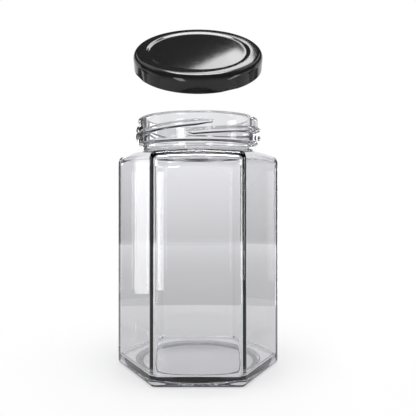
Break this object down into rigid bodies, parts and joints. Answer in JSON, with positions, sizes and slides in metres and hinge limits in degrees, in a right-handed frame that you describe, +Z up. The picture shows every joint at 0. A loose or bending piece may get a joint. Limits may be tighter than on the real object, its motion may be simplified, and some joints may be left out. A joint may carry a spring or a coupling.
{
  "type": "hexagonal glass jar",
  "caption": "Clear glass jar with six flat sides, a round threaded neck and a hollow foot, with its black steel twist-off lid held tipped above it.",
  "frame": {"origin": "on the plane the jar stands on, on the neck's axis, which is the middle of the part's box", "axes": "+Z up along the neck's axis; -Y is the front, which faces one flat side of the hexagon and the tipped lid's top; two upright edges of the hexagon lie on the X axis"},
  "size_m": [0.0802, 0.0704, 0.176],
  "materials": {
    "glass": "clear, smooth and colourless",
    "black_lacquer": "glossy black lacquer on steel sheet",
    "sealing_compound": "matt, soft sealing compound"
  },
  "bodies": {
    "root": {"jar": "glass", "lid": "black_lacquer", "lid_gasket": "sealing_compound"}
  },
  "joints": []
}
